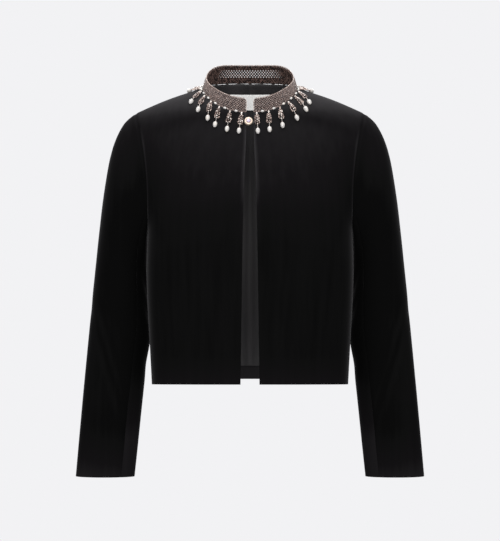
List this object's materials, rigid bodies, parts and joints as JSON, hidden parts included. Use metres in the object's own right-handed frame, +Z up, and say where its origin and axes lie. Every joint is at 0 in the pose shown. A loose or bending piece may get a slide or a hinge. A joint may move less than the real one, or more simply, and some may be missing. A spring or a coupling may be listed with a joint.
{
  "type": "cropped jacket",
  "caption": "Cropped open-front velvet jacket with long two-piece sleeves and a beaded stand collar hung with pearl drops, held by a jewelled button, filled out as worn.",
  "frame": {"origin": "midway between the neck ends of the two shoulder seams, where the shoulders carry the jacket", "axes": "+Z up, the front faces -Y, +X is the wearer's left"},
  "size_m": [0.5798, 0.2358, 0.6904],
  "materials": {
    "velvet": "black cotton velvet with a short soft pile",
    "satin_lining": "black satin lining, slightly shiny",
    "bead_net": "net of small taupe glass beads",
    "pearl": "glossy ivory imitation pearl with glass beads above it",
    "label_cloth": "plain ivory woven label",
    "jewel": "pale gold rim with a pearly dome",
    "black_cord": "thin black cord"
  },
  "bodies": {
    "root": {"front_left": "velvet", "front_right": "velvet", "back": "velvet", "upper_sleeve_left": "velvet", "upper_sleeve_right": "velvet", "under_sleeve_left": "velvet", "under_sleeve_right": "velvet", "collar_band": "bead_net", "back_lining": "satin_lining", "back_hem_facing": "velvet", "neck_label": "label_cloth", "button": "jewel", "button_loop": "black_cord", "drop_left_01": "pearl", "drop_left_02": "pearl", "drop_left_03": "pearl", "drop_left_04": "pearl", "drop_left_05": "pearl", "drop_left_06": "pearl", "drop_left_07": "pearl", "drop_left_08": "pearl", "drop_left_09": "pearl", "drop_left_10": "pearl", "drop_left_11": "pearl", "drop_left_12": "pearl", "drop_left_13": "pearl", "drop_right_01": "pearl", "drop_right_02": "pearl", "drop_right_03": "pearl", "drop_right_04": "pearl", "drop_right_05": "pearl", "drop_right_06": "pearl", "drop_right_07": "pearl", "drop_right_08": "pearl", "drop_right_09": "pearl", "drop_right_10": "pearl", "drop_right_11": "pearl", "drop_right_12": "pearl", "drop_right_13": "pearl"}
  },
  "joints": []
}
